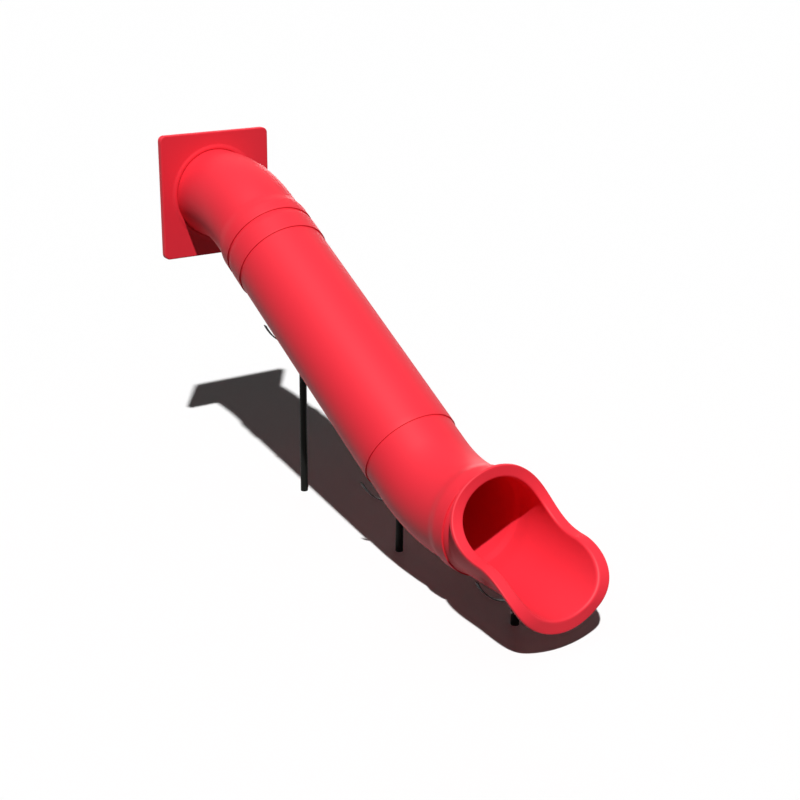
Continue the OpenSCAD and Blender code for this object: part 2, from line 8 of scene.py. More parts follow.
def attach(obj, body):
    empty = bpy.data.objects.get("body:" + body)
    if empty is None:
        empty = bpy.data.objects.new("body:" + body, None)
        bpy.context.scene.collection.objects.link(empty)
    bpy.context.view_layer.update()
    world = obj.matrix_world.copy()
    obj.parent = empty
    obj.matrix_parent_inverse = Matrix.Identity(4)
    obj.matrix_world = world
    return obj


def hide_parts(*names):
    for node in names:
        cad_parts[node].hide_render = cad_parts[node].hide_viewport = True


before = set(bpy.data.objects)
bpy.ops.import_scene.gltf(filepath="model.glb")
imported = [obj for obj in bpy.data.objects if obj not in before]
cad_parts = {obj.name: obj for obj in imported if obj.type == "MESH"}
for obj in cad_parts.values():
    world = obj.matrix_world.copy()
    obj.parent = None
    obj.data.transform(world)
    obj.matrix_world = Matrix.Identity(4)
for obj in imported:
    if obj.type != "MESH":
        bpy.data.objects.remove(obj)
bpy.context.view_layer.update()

# ENTRANCE PANEL.
# A square double-walled panel of rotomoulded polyethylene that closes the deck opening round the
# tube. Its edges are softly rounded and a low collar rises round the tube. It bolts on from behind.

MM = 0.001
TURN = 2 * math.pi

panel_width = 1031.0
panel_height = 1069.0
panel_thick = 60.0
panel_corner = 48.0
panel_edge = 10.0
collar_rise = 8.0
collar_r = 428.0
crest_r = 392.0
crest_round = 2.5
groove_wide = 4.0
groove_deep = 14.0
bore_r = 368.3
wall = 9.5
nest = 10.0
lip_r = 15.0
socket_depth = 24.0
tube_up = 6.0


def bore(level):
    """Inside radius of a nested section: level 0 is the elbows' tube, 1 goes over it, 2 over that."""
    return bore_r + nest * level


def skin(level):
    """Outside radius of a nested section."""
    return bore(level) + wall


def finish_mesh(name, points, faces, sharp_deg=35.0):
    """A closed mesh in metres, with its faces outward and its shading smooth except at sharp edges."""
    mesh = bpy.data.meshes.new(name)
    mesh.from_pydata([tuple(c * MM for c in p) for p in points], [], faces)
    work = bmesh.new()
    work.from_mesh(mesh)
    bmesh.ops.remove_doubles(work, verts=work.verts, dist=1e-6)
    bmesh.ops.recalc_face_normals(work, faces=work.faces)
    for face in work.faces:
        face.smooth = True
    for edge in work.edges:
        if len(edge.link_faces) == 2 and edge.calc_face_angle(0.0) > math.radians(sharp_deg):
            edge.smooth = False
    work.to_mesh(mesh)
    work.free()
    obj = bpy.data.objects.new(name, mesh)
    bpy.context.scene.collection.objects.link(obj)
    return obj


def loft(name, rings, sharp_deg=35.0):
    """Joins rings of equally many points, each one closed, and closes the last ring on the first."""
    count = len(rings[0])
    points = [p for ring in rings for p in ring]
    faces = []
    for i in range(len(rings)):
        after = (i + 1) % len(rings)
        for k in range(count):
            nxt = (k + 1) % count
            faces.append((i * count + k, i * count + nxt, after * count + nxt, after * count + k))
    return finish_mesh(name, points, faces, sharp_deg)


def arc(centre, radius, start_deg, end_deg, steps):
    """Points of an arc in a half section."""
    out = []
    for i in range(steps + 1):
        a = math.radians(start_deg + (end_deg - start_deg) * i / steps)
        out.append((centre[0] + radius * math.cos(a), centre[1] + radius * math.sin(a)))
    return out


def panel_outline(inset, side_steps=36, corner_steps=12):
    """The panel's outline as (y, z) from its middle, moved inwards by inset."""
    half_w, half_h = panel_width / 2, panel_height / 2
    r = panel_corner - inset
    corners = [(1, 1, 0), (-1, 1, 90), (-1, -1, 180), (1, -1, 270)]
    off_y, off_z = half_w - panel_corner, half_h - panel_corner
    arcs = [arc((sy * off_y, sz * off_z), r, a, a + 90, corner_steps) for sy, sz, a in corners]
    out = []
    for i, points in enumerate(arcs):
        out += points
        start, end = points[-1], arcs[(i + 1) % 4][0]
        out += [(start[0] + (end[0] - start[0]) * k / side_steps,
                 start[1] + (end[1] - start[1]) * k / side_steps) for k in range(1, side_steps)]
    return out


outline_angles = [math.atan2(z - tube_up, y) for y, z in panel_outline(panel_edge)]


def outline_ring(x, inset):
    return [(x, y, z) for y, z in panel_outline(inset)]


def round_ring(x, r):
    return [(x, r * math.cos(a), tube_up + r * math.sin(a)) for a in outline_angles]


edge_steps = 8
support = 1.5
quarter_turn = [math.radians(90 * i / edge_steps) for i in range(edge_steps + 1)]
front = [outline_ring(panel_thick - panel_edge * (1 - math.cos(a)), panel_edge * (1 - math.sin(a)))
         for a in reversed(quarter_turn)]
back = [outline_ring(panel_edge * (1 - math.cos(a)), panel_edge * (1 - math.sin(a)))
        for a in quarter_turn]
rings = ([outline_ring(panel_thick, panel_edge + support)] + front[::-1] + back[::-1]
         + [outline_ring(0, panel_edge + support)])
# the rings run from the front face over the edge to the back face, and then in through the opening
inside = [round_ring(0, bore(0) + lip_r)]
for i in range(1, edge_steps + 1):
    a = math.radians(90 * i / edge_steps)
    inside.append(round_ring(lip_r * (1 - math.cos(a)), bore(0) + lip_r * (1 - math.sin(a))))
inside += [round_ring(socket_depth, bore(0)), round_ring(socket_depth, bore(1))]
crest_x = panel_thick + collar_rise
groove_r = bore(1) + groove_wide
inside += [round_ring(crest_x - groove_deep, bore(1)), round_ring(crest_x - groove_deep, groove_r)]
crest_steps = 4
for i in range(crest_steps + 1):
    a = math.radians(90 * i / crest_steps)
    inside.append(round_ring(crest_x - crest_round * (1 - math.sin(a)),
                             groove_r + crest_round * (1 - math.cos(a))))
slope_steps = 16
for i in range(slope_steps + 1):
    t = i / slope_steps
    inside.append(round_ring(panel_thick + collar_rise * (1 + math.cos(math.pi * t)) / 2,
                             crest_r + (collar_r - crest_r) * t))
panel = loft("panel", rings + inside)


def socket(tree, kind, name, side, default=None):
    """One socket of a node group."""
    item = tree.interface.new_socket(name=name, in_out=side, socket_type=kind)
    if default is not None:
        item.default_value = default
    return item


def make_mottle():
    """Node group for an even finish that is never quite even: wide soft patches, and a fine grain."""
    tree = bpy.data.node_groups.new("mottled_finish", "ShaderNodeTree")
    socket(tree, "NodeSocketColor", "Color", "INPUT", (0.8, 0.8, 0.8, 1.0))
    socket(tree, "NodeSocketFloat", "Patch Size", "INPUT", 0.3)
    socket(tree, "NodeSocketFloat", "Patch Contrast", "INPUT", 0.05)
    socket(tree, "NodeSocketFloat", "Grain Size", "INPUT", 0.004)
    socket(tree, "NodeSocketFloat", "Roughness", "INPUT", 0.4)
    socket(tree, "NodeSocketFloat", "Roughness Spread", "INPUT", 0.05)
    socket(tree, "NodeSocketColor", "Color", "OUTPUT")
    socket(tree, "NodeSocketFloat", "Roughness", "OUTPUT")
    socket(tree, "NodeSocketFloat", "Grain", "OUTPUT")
    node, link = tree.nodes.new, tree.links.new
    given, out = node("NodeGroupInput"), node("NodeGroupOutput")
    place = node("ShaderNodeTexCoord")

    def noise(size, detail):
        scale = node("ShaderNodeMath")
        scale.operation = "DIVIDE"
        scale.inputs[0].default_value = 1.0
        link(given.outputs[size], scale.inputs[1])
        texture = node("ShaderNodeTexNoise")
        texture.inputs["Detail"].default_value = detail
        link(place.outputs["Object"], texture.inputs["Vector"])
        link(scale.outputs[0], texture.inputs["Scale"])
        return texture.outputs["Fac"]

    def centred(fac, amount, middle):
        """middle + (fac - 0.5) * amount"""
        low = node("ShaderNodeMath")
        low.operation = "SUBTRACT"
        low.inputs[1].default_value = 0.5
        link(fac, low.inputs[0])
        add = node("ShaderNodeMath")
        add.operation = "MULTIPLY_ADD"
        link(low.outputs[0], add.inputs[0])
        link(amount, add.inputs[1])
        if isinstance(middle, float):
            add.inputs[2].default_value = middle
        else:
            link(middle, add.inputs[2])
        return add.outputs[0]

    patches = noise("Patch Size", 3.0)
    grain = noise("Grain Size", 2.0)
    shade = node("ShaderNodeHueSaturation")
    link(given.outputs["Color"], shade.inputs["Color"])
    link(centred(patches, given.outputs["Patch Contrast"], 1.0), shade.inputs["Value"])
    link(shade.outputs["Color"], out.inputs["Color"])
    link(centred(patches, given.outputs["Roughness Spread"], given.outputs["Roughness"]),
         out.inputs["Roughness"])
    link(grain, out.inputs["Grain"])
    return tree


mottle = make_mottle()


def coated(name, color, patch, contrast, grain, rough, spread, bump_mm, metallic=0.0, specular=0.5):
    """A material whose finish comes from the mottled group, with its grain as a fine bump."""
    material = bpy.data.materials.new(name)
    material.use_nodes = True
    nodes, link = material.node_tree.nodes, material.node_tree.links.new
    shader = nodes["Principled BSDF"]
    shader.inputs["Metallic"].default_value = metallic
    shader.inputs["Specular IOR Level"].default_value = specular
    group = nodes.new("ShaderNodeGroup")
    group.node_tree = mottle
    group.inputs["Color"].default_value = (*color, 1.0)
    group.inputs["Patch Size"].default_value = patch
    group.inputs["Patch Contrast"].default_value = contrast
    group.inputs["Grain Size"].default_value = grain
    group.inputs["Roughness"].default_value = rough
    group.inputs["Roughness Spread"].default_value = spread
    link(group.outputs["Color"], shader.inputs["Base Color"])
    link(group.outputs["Roughness"], shader.inputs["Roughness"])
    bump = nodes.new("ShaderNodeBump")
    bump.inputs["Distance"].default_value = bump_mm * MM
    link(group.outputs["Grain"], bump.inputs["Height"])
    link(bump.outputs["Normal"], shader.inputs["Normal"])
    return material


red = (0.84, 0.026, 0.046)
moulded_red = coated("moulded_red", red, patch=0.35, contrast=0.05, grain=0.006, rough=0.54,
                     spread=0.06, bump_mm=0.06, specular=0.30)


def dress(obj, material, slot, *nodes):
    """Gives a new piece its finish and puts it in the place of its CAD nodes."""
    obj.data.materials.clear()
    obj.data.materials.append(material)
    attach(obj, "root")
    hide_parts(*nodes)
    return obj


def refinish(node, material):
    """A CAD node that keeps its own shape and gets a better finish."""
    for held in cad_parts[node].material_slots:
        held.link = "OBJECT"
        held.material = material


dress(panel, moulded_red, "plastic", "entrance_panel")

# DECK FIXING.
# Four zinc-plated threaded inserts are moulded into the back of the panel, and take the bolts that
# come through the deck. They show from behind only.

zinc = coated("zinc_plate", (0.62, 0.61, 0.56), patch=0.02, contrast=0.2, grain=0.002, rough=0.38,
              spread=0.1, bump_mm=0.02, metallic=1.0)
refinish("panel_inserts", zinc)

# ENTRY ELBOW.
# A rotomoulded bend that turns the level entry down the slope. Its upper end sits in the panel's
# collar, and a wider bell at its lower end goes over the spacer tube.

slope_deg = 29.25
bend_r = 1100.0
entry_x = 516.0
joint_1_run = 560.0
joint_2_run = 788.6
joint_3_run = 2922.2
exit_corner_run = 3404.8
exit_level_run = 526.3
overlap = 100.0
seat_gap = 0.3
bell_flat = 125.0
bell_ramp = 50.0
lead_cone = 60.0
end_round = 2.5
ramp_ease = 35.0

slope = math.radians(slope_deg)
bend_t = bend_r * math.tan(slope / 2)
bend_len = bend_r * slope
exit_x = entry_x + exit_corner_run * math.cos(slope)
exit_z = tube_up - exit_corner_run * math.sin(slope)
joint_4_x = exit_x + exit_level_run

# stations along the tube's centreline, from the panel's back face
bend_1 = entry_x - bend_t
slope_start = bend_1 + bend_len
bend_2 = slope_start + exit_corner_run - 2 * bend_t
level_start = bend_2 + bend_len


def sloping(run):
    """Station of a point of the slope, given from the entry corner."""
    return slope_start + run - bend_t


def level(x):
    """Station of a point of the level exit, given along X."""
    return level_start + x - exit_x - bend_t


def centre(station):
    """Point of the centreline as (x, z), and the angle it has turned down."""
    if station <= bend_1:
        return station, tube_up, 0.0
    if station <= slope_start:
        a = (station - bend_1) / bend_r
        return bend_1 + bend_r * math.sin(a), tube_up - bend_r * (1 - math.cos(a)), a
    if station <= bend_2:
        run = station - slope_start + bend_t
        return entry_x + run * math.cos(slope), tube_up - run * math.sin(slope), slope
    if station <= level_start:
        a = slope - (station - bend_2) / bend_r
        return exit_x + bend_t - bend_r * math.sin(a), exit_z + bend_r * (1 - math.cos(a)), a
    return exit_x + bend_t + station - level_start, exit_z, 0.0


def tube_ring(station, r, segments=176):
    """A ring of the tube. Its first point is at the top."""
    x, z, down = centre(station)
    out = []
    for k in range(segments):
        a = TURN * k / segments
        up = r * math.cos(a)
        out.append((x + up * math.sin(down), r * math.sin(a), z + up * math.cos(down)))
    return out


def softened(corners):
    """Rounds the corners of a closed half section, given as (station, radius, rounding)."""
    out = []
    count = len(corners)
    for i, (s, r, soft) in enumerate(corners):
        here = Vector((s, r))
        if soft == 0:
            out.append((s, r))
            continue
        before = (Vector(corners[i - 1][:2]) - here)
        after = (Vector(corners[(i + 1) % count][:2]) - here)
        reach = min(soft, before.length / 2, after.length / 2)
        a, b = here + before.normalized() * reach, here + after.normalized() * reach
        for k in range(5):
            t = k / 4
            p = a * (1 - t) ** 2 + here * 2 * t * (1 - t) + b * t * t
            out.append((p.x, p.y))
    return out


def tube_section(name, corners, longest=22.0):
    """A tube section from its closed half section, with enough rings to follow the bends."""
    points = softened(corners)
    rings = []
    for i, (s, r) in enumerate(points):
        s2, r2 = points[(i + 1) % len(points)]
        steps = max(1, math.ceil(math.hypot(s2 - s, r2 - r) / longest))
        rings += [tube_ring(s + (s2 - s) * k / steps, r + (r2 - r) * k / steps) for k in range(steps)]
    return loft(name, rings)


def eased(s0, r0, s1, r1, steps=12):
    """Corners of a soft change of radius."""
    return [(s0 + (s1 - s0) * k / steps, r0 + (r1 - r0) * (1 - math.cos(math.pi * k / steps)) / 2, 0)
            for k in range(steps + 1)]


def bell(end):
    """Corners of an elbow's bell, round its outside, its mouth and its recess."""
    ramp_start = end - bell_flat - bell_ramp
    return eased(ramp_start - ramp_ease, skin(0), end - bell_flat + ramp_ease, skin(2)) + [
            (end, skin(2), end_round), (end, bore(2), 1), (end - overlap, bore(2), 0),
            (end - overlap, bore(1), 0), (end - overlap - lead_cone, bore(0), 10)]


start = socket_depth + seat_gap
entry_elbow = tube_section(
    "upper_elbow", [(start, bore(0), 0), (start, skin(0), 0)] + bell(sloping(joint_1_run)))
dress(entry_elbow, moulded_red, "plastic", "entry_elbow")

# SPACER TUBE.
# A short moulded ring that sets the slide's length. Its upper end is inside the elbow's bell, and
# its own wider lower end goes over the main tube.

spacer_overlap = 150.0
collar_flat = 10.0
spacer_ramp = 45.0

start, end = sloping(joint_1_run - overlap + seat_gap), sloping(joint_2_run)
ramp = sloping(joint_1_run + collar_flat)
shoulder = sloping(joint_2_run - spacer_overlap)
spacer = tube_section("spacer", [
    (start, bore(1), 0), (start, skin(1), 0), (ramp, skin(1), 4), (ramp + spacer_ramp, skin(2), 14),
    (end, skin(2), end_round), (end, bore(2), 1), (shoulder, bore(2), 0), (shoulder, bore(1), 0)])
dress(spacer, moulded_red, "plastic", "spacer_tube")

# MAIN TUBE.
# The long straight run, moulded in one piece with an even wall. It starts inside the spacer and
# ends over the lower elbow.

start, end = sloping(joint_2_run - spacer_overlap + seat_gap), sloping(joint_3_run)
main_tube = tube_section("long_tube", [
    (start, bore(1), 0), (start, skin(1), 0), (end, skin(1), end_round), (end, bore(1), 1)],
    longest=60.0)
dress(main_tube, moulded_red, "plastic", "main_tube")

# EXIT ELBOW.
# The second bend brings the slope back to level. Its tapered mouth lies inside the main tube, and
# its bell goes over the chute.

mouth_land = 0.8

start = sloping(joint_3_run - overlap)
exit_elbow = tube_section("lower_elbow", [
    (start + lead_cone, bore(0), 10), (start, skin(0) - mouth_land, 0), (start, skin(0), 0)]
    + bell(level(joint_4_x)))
dress(exit_elbow, moulded_red, "plastic", "exit_elbow")

# EXIT CHUTE.
# The open end of the slide: a tube cut away in an S-curve, whose whole edge turns out into a wide
# rim and rolls back behind. It is one moulding, and slips into the lower elbow's bell.

rim_r = 461.0
rim_depth = 26.0
rim_inner = 20.0
rim_edge = 10.0
rim_back = 12.0
rim_flare = 8.0
top_run = 85.5
top_dip = 1.4
waist_run = 495.1
waist_drop = 7.3
end_run = 865.2
end_drop = 351.4
toe_kick = 6.7
waist_fall = 0.025
top_x = joint_4_x + top_run
top_z = exit_z + rim_r - top_dip
waist_x = joint_4_x + waist_run
waist_z = exit_z - waist_drop
end_x = joint_4_x + end_run
end_z = exit_z - end_drop
level_dir = Vector((1.0, -waist_fall))
top_upright, waist_level_back = 0.584, 0.669
waist_level_on, end_upright = 0.461, 0.591
sweep_1_bulge, sweep_2_bulge = 1.03, 1.04

mouth_top = Vector((top_x, top_z))
waist = Vector((waist_x, waist_z))
mouth_end = Vector((end_x, end_z))
sweep_1 = sweep_1_bulge * (waist - mouth_top).length
sweep_2 = sweep_2_bulge * (mouth_end - waist).length


def cubic(a, b, c, d, t):
    return a * (1 - t) ** 3 + b * 3 * (1 - t) ** 2 * t + c * 3 * (1 - t) * t * t + d * t ** 3


def mouth(u):
    """Point (x, z) of the mouth's edge in side view, at distance u from its top."""
    if u < 0:
        return mouth_top - Vector((0, u))
    if u < sweep_1:
        return cubic(mouth_top, mouth_top - Vector((0, top_upright * (top_z - waist_z))),
                     waist - level_dir * waist_level_back * (waist_x - top_x), waist, u / sweep_1)
    if u < sweep_1 + sweep_2:
        return cubic(waist, waist + level_dir * waist_level_on * (end_x - waist_x),
                     mouth_end + Vector((0, end_upright * (waist_z - end_z))), mouth_end,
                     (u - sweep_1) / sweep_2)
    drop = u - sweep_1 - sweep_2
    return mouth_end + Vector((toe_kick * (drop / (rim_r + end_z - exit_z)) ** 2, -drop))


def behind(u, d):
    """The point d behind the rim's front face."""
    run = mouth(u + 0.5) - mouth(u - 0.5)
    facing = Vector((-run.y, run.x)).normalized()
    return mouth(u) - facing * d


def find_u(z, d):
    """Distance u at which the line d behind the front passes the height z."""
    low, high = -60.0, sweep_1 + sweep_2 + 200.0
    for _ in range(34):
        mid = (low + high) / 2
        if behind(mid, d).y > z:
            low = mid
        else:
            high = mid
    return (low + high) / 2


def quarter(start_deg, end_deg, steps):
    return [math.radians(start_deg + (end_deg - start_deg) * i / steps) for i in range(steps + 1)]


# section of the rim as (radius, depth behind the front): back fillet, rolled edge, front, bore fillet
rim_section = (
    [(skin(0) + rim_back * (1 - math.cos(a)), wall + rim_back * (1 - math.sin(a)))
     for a in quarter(0, 90, 6)]
    + [(rim_r - wall - 4, wall), (rim_r - wall - 1, wall + 1), (rim_r - wall, wall + 4),
       (rim_r - wall, rim_depth - 3), (rim_r - wall + 1, rim_depth - 1), (rim_r - wall + 3, rim_depth),
       (rim_r - 3, rim_depth), (rim_r - 1, rim_depth - 1), (rim_r, rim_depth - 3)]
    + [(rim_r - rim_edge * (1 - math.sin(a)), rim_edge * (1 - math.cos(a))) for a in quarter(90, 0, 7)]
    + [(rim_r - rim_edge - 22, 0.0), (bore(0) + rim_inner + 14, 0.0)]
    + [(bore(0) + rim_inner * (1 - math.cos(a)), rim_inner * (1 - math.sin(a)))
       for a in quarter(90, 0, 9)])
rim_limits = [(find_u(exit_z + r, d), find_u(exit_z - r, d)) for r, d in rim_section]


def on_tube(x, r, angle, side):
    return (x, side * r * math.sin(angle), exit_z + r * math.cos(angle))


def rim_point(share, index):
    """Rim point as (x, radius, angle from the top). Share 0 is the mouth's top and 1 its bottom."""
    r, d = rim_section[index]
    first, last = rim_limits[index]
    p = behind(first + (last - first) * (1 - math.cos(math.pi * share)) / 2, d)
    widened = r + rim_flare * share ** 2 * max(0.0, r - skin(0)) / (rim_r - skin(0))
    return p.x, widened, math.acos(max(-1.0, min(1.0, (p.y - exit_z) / r)))


half_stations = 150
fan_steps = 30
spigot_start = joint_4_x - overlap + seat_gap
ramp_x = joint_4_x + collar_flat
outside = [(spigot_start, skin(1)), (joint_4_x - 2, skin(1)), (ramp_x - 4, skin(1)),
           (ramp_x, skin(1) - 0.3), (ramp_x + 5, skin(1) - 1.1)]
outside += [(ramp_x + 5 + 40 * k / 6, skin(1) - 1.1 - (nest - 2.2) * k / 6) for k in range(1, 7)]
outside += [(ramp_x + bell_ramp, skin(0) + 0.25), (ramp_x + bell_ramp + 3, skin(0))]
inner_side = [(s, r) for s, r, _ in eased(ramp_x + bell_ramp, bore(0), spigot_start, bore(1))]


def chute_loop(share, side):
    """One closed section of the chute: along its outside, round the rim and back along the bore."""
    spread = math.pi * share
    points = [on_tube(x, r, spread, side) for x, r in outside]
    x0, (x1, _, a1) = outside[-1][0], rim_point(share, 0)
    for k in range(1, fan_steps):
        t = k / fan_steps
        points.append(on_tube(x0 + (x1 - x0) * t, skin(0), spread + (a1 - spread) * t, side))
    for i in range(len(rim_section)):
        points.append(on_tube(*rim_point(share, i), side))
    x1, (x0, _, a0) = inner_side[0][0], rim_point(share, len(rim_section) - 1)
    for k in range(1, fan_steps):
        t = k / fan_steps
        points.append(on_tube(x0 + (x1 - x0) * t, bore(0), a0 + (spread - a0) * t, side))
    return points + [on_tube(x, r, spread, side) for x, r in inner_side]


chute = loft("chute", [chute_loop(j / half_stations, 1) for j in range(half_stations + 1)]
             + [chute_loop(j / half_stations, -1) for j in range(half_stations - 1, 0, -1)])
dress(chute, moulded_red, "plastic", "exit_chute")

# JOINT SCREWS.
# Eight countersunk stainless screws round each joint, put in from inside the tube, through one
# section into the next. Their heads are flush with the bore and have a hexagon socket.

screws_per_joint = 8
screw_back = 28.0
screw_r = 4.0
screw_head_r = 8.0
screw_len = 17.5
socket_r = 2.9
socket_deep = 2.6

steel = coated("stainless", (0.60, 0.60, 0.61), patch=0.01, contrast=0.12, grain=0.0008, rough=0.3,
               spread=0.12, bump_mm=0.01, metallic=1.0)


def countersunk_mesh(name, length):
    """Head on Z = 0 with a hexagon socket, shank along +Z."""
    sides = 24
    below = bore_r - math.sqrt(bore_r ** 2 - screw_head_r ** 2)
    hexagon = [socket_r / math.cos((TURN * k / sides + TURN / 12) % (TURN / 6) - TURN / 12)
               for k in range(sides)]
    work = bmesh.new()

    def ring(radius, height):
        radii = radius if isinstance(radius, list) else [radius] * sides
        return [work.verts.new((radii[k] * MM * math.cos(TURN * k / sides),
                                radii[k] * MM * math.sin(TURN * k / sides), height * MM))
                for k in range(sides)]

    rings = [ring(hexagon, below + socket_deep), ring(hexagon, below), ring(screw_head_r - 0.3, below),
             ring(screw_head_r, below + 0.3), ring(screw_r, below + screw_head_r - screw_r),
             ring(screw_r, length - 0.6), ring(screw_r - 0.6, length)]
    for low, high in zip(rings, rings[1:]):
        for k in range(sides):
            work.faces.new((low[k], low[(k + 1) % sides], high[(k + 1) % sides], high[k]))
    work.faces.new(rings[0])
    work.faces.new(rings[-1])
    bmesh.ops.recalc_face_normals(work, faces=work.faces)
    mesh = bpy.data.meshes.new(name)
    work.to_mesh(mesh)
    work.free()
    return mesh


def fastener_tree(name, part, material):
    """Geometry Nodes tree: one part on every point, its Z axis along the point's direction."""
    tree = bpy.data.node_groups.new(name, "GeometryNodeTree")
    socket(tree, "NodeSocketGeometry", "Geometry", "INPUT")
    socket(tree, "NodeSocketFloat", "Size", "INPUT", 1.0)
    socket(tree, "NodeSocketGeometry", "Geometry", "OUTPUT")
    node, link = tree.nodes.new, tree.links.new
    given, out = node("NodeGroupInput"), node("NodeGroupOutput")
    shape = node("GeometryNodeObjectInfo")
    shape.inputs["Object"].default_value = part
    along = node("GeometryNodeInputNamedAttribute")
    along.data_type = "FLOAT_VECTOR"
    along.inputs["Name"].default_value = "along"
    turn = node("FunctionNodeAlignRotationToVector")
    turn.axis = "Z"
    link(along.outputs["Attribute"], turn.inputs["Vector"])
    copies = node("GeometryNodeInstanceOnPoints")
    link(given.outputs["Geometry"], copies.inputs["Points"])
    link(shape.outputs["Geometry"], copies.inputs["Instance"])
    link(turn.outputs["Rotation"], copies.inputs["Rotation"])
    link(given.outputs["Size"], copies.inputs["Scale"])
    real = node("GeometryNodeRealizeInstances")
    link(copies.outputs["Instances"], real.inputs["Geometry"])
    paint = node("GeometryNodeSetMaterial")
    paint.inputs["Material"].default_value = material
    link(real.outputs["Geometry"], paint.inputs["Geometry"])
    link(paint.outputs["Geometry"], out.inputs["Geometry"])
    return tree


def fasten(name, places, part_mesh, material):
    """One plain mesh with the part at each place, given as (point, direction) in millimetres."""
    mesh = bpy.data.meshes.new(name + "_places")
    mesh.from_pydata([tuple(c * MM for c in p) for p, _ in places], [], [])
    along = mesh.attributes.new("along", "FLOAT_VECTOR", "POINT")
    for i, (_, way) in enumerate(places):
        along.data[i].vector = way
    carrier = bpy.data.objects.new(name + "_places", mesh)
    bpy.context.scene.collection.objects.link(carrier)
    part = bpy.data.objects.new(name + "_part", part_mesh)
    tree = fastener_tree(name + "_tree", part, material)
    modifier = carrier.modifiers.new("fasteners", "NODES")
    modifier.node_group = tree
    size = next(s for s in tree.interface.items_tree if s.name == "Size" and s.in_out == "INPUT")
    modifier[size.identifier] = 1.0
    bpy.context.view_layer.update()
    depsgraph = bpy.context.evaluated_depsgraph_get()
    plain = bpy.data.meshes.new_from_object(carrier.evaluated_get(depsgraph), depsgraph=depsgraph)
    carrier.modifiers.remove(modifier)
    bpy.data.objects.remove(carrier)
    bpy.data.objects.remove(part)
    plain.name = name
    obj = bpy.data.objects.new(name, plain)
    bpy.context.scene.collection.objects.link(obj)
    return obj


def round_joint(station, r, count, first_deg):
    """Places round the tube at one station, pointing away from its axis."""
    x, z, down = centre(station)
    places = []
    for k in range(count):
        a = math.radians(first_deg) + TURN * k / count
        way = (math.cos(a) * math.sin(down), math.sin(a), math.cos(a) * math.cos(down))
        places.append(((x + r * way[0], r * way[1], z + r * way[2]), way))
    return places


joints = [(panel_thick + collar_rise, bore(0)), (sloping(joint_1_run), bore(1)),
          (sloping(joint_2_run), bore(1)), (sloping(joint_3_run), bore(0)), (level(joint_4_x), bore(1))]
places = []
for station, r in joints:
    places += round_joint(station - screw_back, r, screws_per_joint, 180 / screws_per_joint)
joint_screws = fasten("joint_screw_set", places, countersunk_mesh("joint_screw", screw_len), steel)
dress(joint_screws, steel, "stainless", "joint_screws")

# POSTS.
# Three upright steel pipes in one line under the tube, powder coated almost black. Each is drilled
# crosswise near its top for the two bolts that hold its cradle's stub.

post_black = coated("post_powder_coat", (0.012, 0.012, 0.011), patch=0.12, contrast=0.3, grain=0.0015,
                    rough=0.5, spread=0.1, bump_mm=0.05, specular=0.08)
for node in ("post_upper", "post_middle", "post_lower"):
    refinish(node, post_black)

# CRADLE STUBS.
# A short galvanised steel pipe slides into each post, and two bolts cross it. Its top is coped to
# the band that is welded on it.

galvanised = coated("galvanised", (0.42, 0.43, 0.44), patch=0.02, contrast=0.35, grain=0.003, rough=0.5,
                    spread=0.2, bump_mm=0.03, metallic=0.9)
for node in ("stub_upper", "stub_middle", "stub_lower"):
    refinish(node, galvanised)

# CRADLE BANDS.
# Flat steel strips bent to the tube's curve, one welded on each stub. They are powder coated like
# the posts. Only their near ends show past the tube.

for node in ("band_upper", "band_middle", "band_lower"):
    refinish(node, post_black)

# POST BOLTS AND NUTS.
# Two stainless hexagon bolts cross each post and its stub, with a nut on the far side. Heads and
# nuts are forged with their corners turned off.

post_x = (1498.0, 2925.975, 4353.974)
post_tops = (-1027.418, -1893.377, -2123.358)
post_r = 30.15
bolt_r = 5.0
bolt_down = 30.0
bolt_pitch = 45.0
flats_per_r = 3.3
nut_per_r = 1.6
head_per_r = 1.3


def hex_part(name, radius, head_high, shank, hollow):
    """A hexagon head or nut on Z = 0, with chamfered corners. A bolt's shank runs along +Z."""
    sides = 36
    flat = flats_per_r * radius / 2
    six = [flat / math.cos((TURN * k / sides) % (TURN / 6) - TURN / 12) for k in range(sides)]
    turned_r = [min(r, flat * 1.02) for r in six]
    work = bmesh.new()

    def ring(radii, height):
        radii = radii if isinstance(radii, list) else [radii] * sides
        return [work.verts.new((radii[k] * MM * math.cos(TURN * k / sides),
                                radii[k] * MM * math.sin(TURN * k / sides), height * MM))
                for k in range(sides)]

    edge = 0.12 * head_high
    if hollow:
        rings = [ring(radius + 0.1, 0.5), ring(radius + 0.6, 0), ring(turned_r, 0), ring(six, edge),
                 ring(six, head_high - edge), ring(turned_r, head_high), ring(radius + 0.6, head_high),
                 ring(radius + 0.1, head_high - 0.5)]
        pairs = list(zip(rings, rings[1:] + rings[:1]))
    else:
        rings = [ring(turned_r, -head_high), ring(six, edge - head_high), ring(six, 0), ring(radius, 0),
                 ring(radius, shank - 1), ring(radius - 0.8, shank)]
        pairs = list(zip(rings, rings[1:]))
    for low, high in pairs:
        for k in range(sides):
            work.faces.new((low[k], low[(k + 1) % sides], high[(k + 1) % sides], high[k]))
    if not hollow:
        work.faces.new(rings[0])
        work.faces.new(rings[-1])
    bmesh.ops.recalc_face_normals(work, faces=work.faces)
    mesh = bpy.data.meshes.new(name)
    work.to_mesh(mesh)
    work.free()
    return mesh


